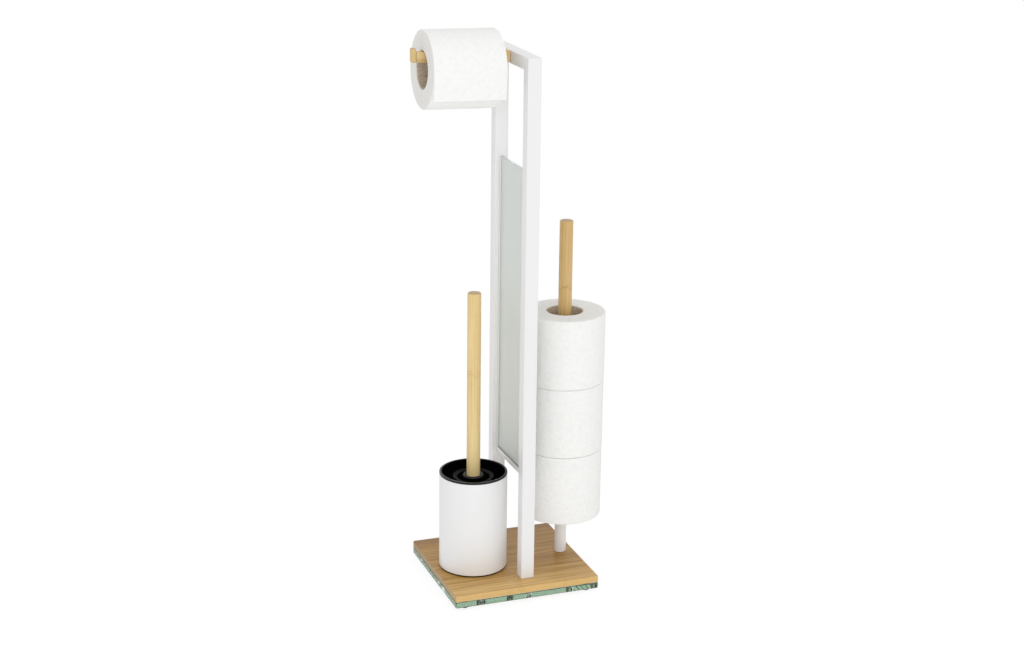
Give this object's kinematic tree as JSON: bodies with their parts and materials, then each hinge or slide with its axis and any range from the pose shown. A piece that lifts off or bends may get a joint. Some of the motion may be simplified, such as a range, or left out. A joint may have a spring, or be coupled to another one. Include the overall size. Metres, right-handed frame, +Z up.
{
  "type": "toilet brush and roll stand",
  "caption": "Free-standing bathroom stand: brush in a round holder, paper roll on an arm, spare rolls stacked on a pole, slim frame with a frosted pane, square base.",
  "frame": {"origin": "on the floor under the middle of the whole object, half way between the arm end and the outermost spare roll, and on the base's own centre line in Y", "axes": "+Z up; +X from the brush holder towards the spare rolls; Y along the frame, from the front post at -Y to the rear post at +Y"},
  "size_m": [0.2606, 0.185, 0.7297],
  "materials": {
    "white_steel": "satin white powder coat",
    "steel": "zinc plated",
    "bamboo": "clear matt lacquer over light bamboo",
    "base_glass": "polished, green at the edge",
    "frosted_glass": "satin etched",
    "clear_rubber": "clear, slightly milky",
    "black_rubber": "matt black",
    "black_plastic": "gloss black",
    "bristle": "white bristle",
    "tissue": "white tissue, finely embossed",
    "cardboard": "grey brown board"
  },
  "bodies": {
    "stand": {"front_post": "white_steel", "rear_post": "white_steel", "top_rail": "white_steel", "glass_rail": "white_steel", "pole_spacer": "white_steel", "roll_plate": "white_steel", "holder_sleeve": "white_steel", "front_post_plug": "steel", "rear_post_plug": "steel", "arm_screw": "steel", "rod_stud": "steel", "holder_nut": "steel", "front_post_screw": "steel", "front_post_washer": "steel", "rear_post_screw": "steel", "rear_post_washer": "steel", "pole_screw": "steel", "pole_washer": "steel", "holder_screw": "steel", "holder_washer": "steel", "bamboo_base": "bamboo", "roll_arm": "bamboo", "arm_end_stop": "bamboo", "spare_roll_rod": "bamboo", "glass_base": "base_glass", "glass_pane": "frosted_glass", "pane_strip_front": "clear_rubber", "pane_strip_rear": "clear_rubber", "foot_front_left": "clear_rubber", "foot_front_right": "clear_rubber", "foot_rear_left": "clear_rubber", "foot_rear_right": "clear_rubber", "holder_foot_ring": "black_rubber"},
    "insert": {"holder_insert": "black_plastic"},
    "brush": {"brush_handle": "bamboo", "brush_lid": "black_plastic", "brush_stud": "steel", "brush_stem": "black_plastic", "brush_bristles": "bristle"},
    "spare_roll_1": {"spare_roll_1_paper": "tissue", "spare_roll_1_core": "cardboard"},
    "spare_roll_2": {"spare_roll_2_paper": "tissue", "spare_roll_2_core": "cardboard"},
    "spare_roll_3": {"spare_roll_3_paper": "tissue", "spare_roll_3_core": "cardboard"},
    "used_roll": {"used_roll_paper": "tissue", "used_roll_core": "cardboard"}
  },
  "joints": [
    {"name": "insert_lift", "type": "slide", "parent": "stand", "child": "insert", "axis": [0, 0, 1], "range_m": [0, 0.126]},
    {"name": "brush_lift", "type": "slide", "parent": "insert", "child": "brush", "axis": [0, 0, 1], "range_m": [0, 0.11]},
    {"name": "used_roll_spin", "type": "hinge", "parent": "stand", "child": "used_roll", "pos_m": [-0.06997, -0.0029, 0.67981], "axis": [0.9997, 0, -0.0241], "continuous": true},
    {"name": "spare_roll_1_lift", "type": "slide", "parent": "stand", "child": "spare_roll_1", "axis": [0, 0, 1], "range_m": [0, 0.405]},
    {"name": "spare_roll_2_lift", "type": "slide", "parent": "spare_roll_1", "child": "spare_roll_2", "axis": [0, 0, 1], "range_m": [0, 0.31]},
    {"name": "spare_roll_3_lift", "type": "slide", "parent": "spare_roll_2", "child": "spare_roll_3", "axis": [0, 0, 1], "range_m": [0, 0.22]}
  ]
}
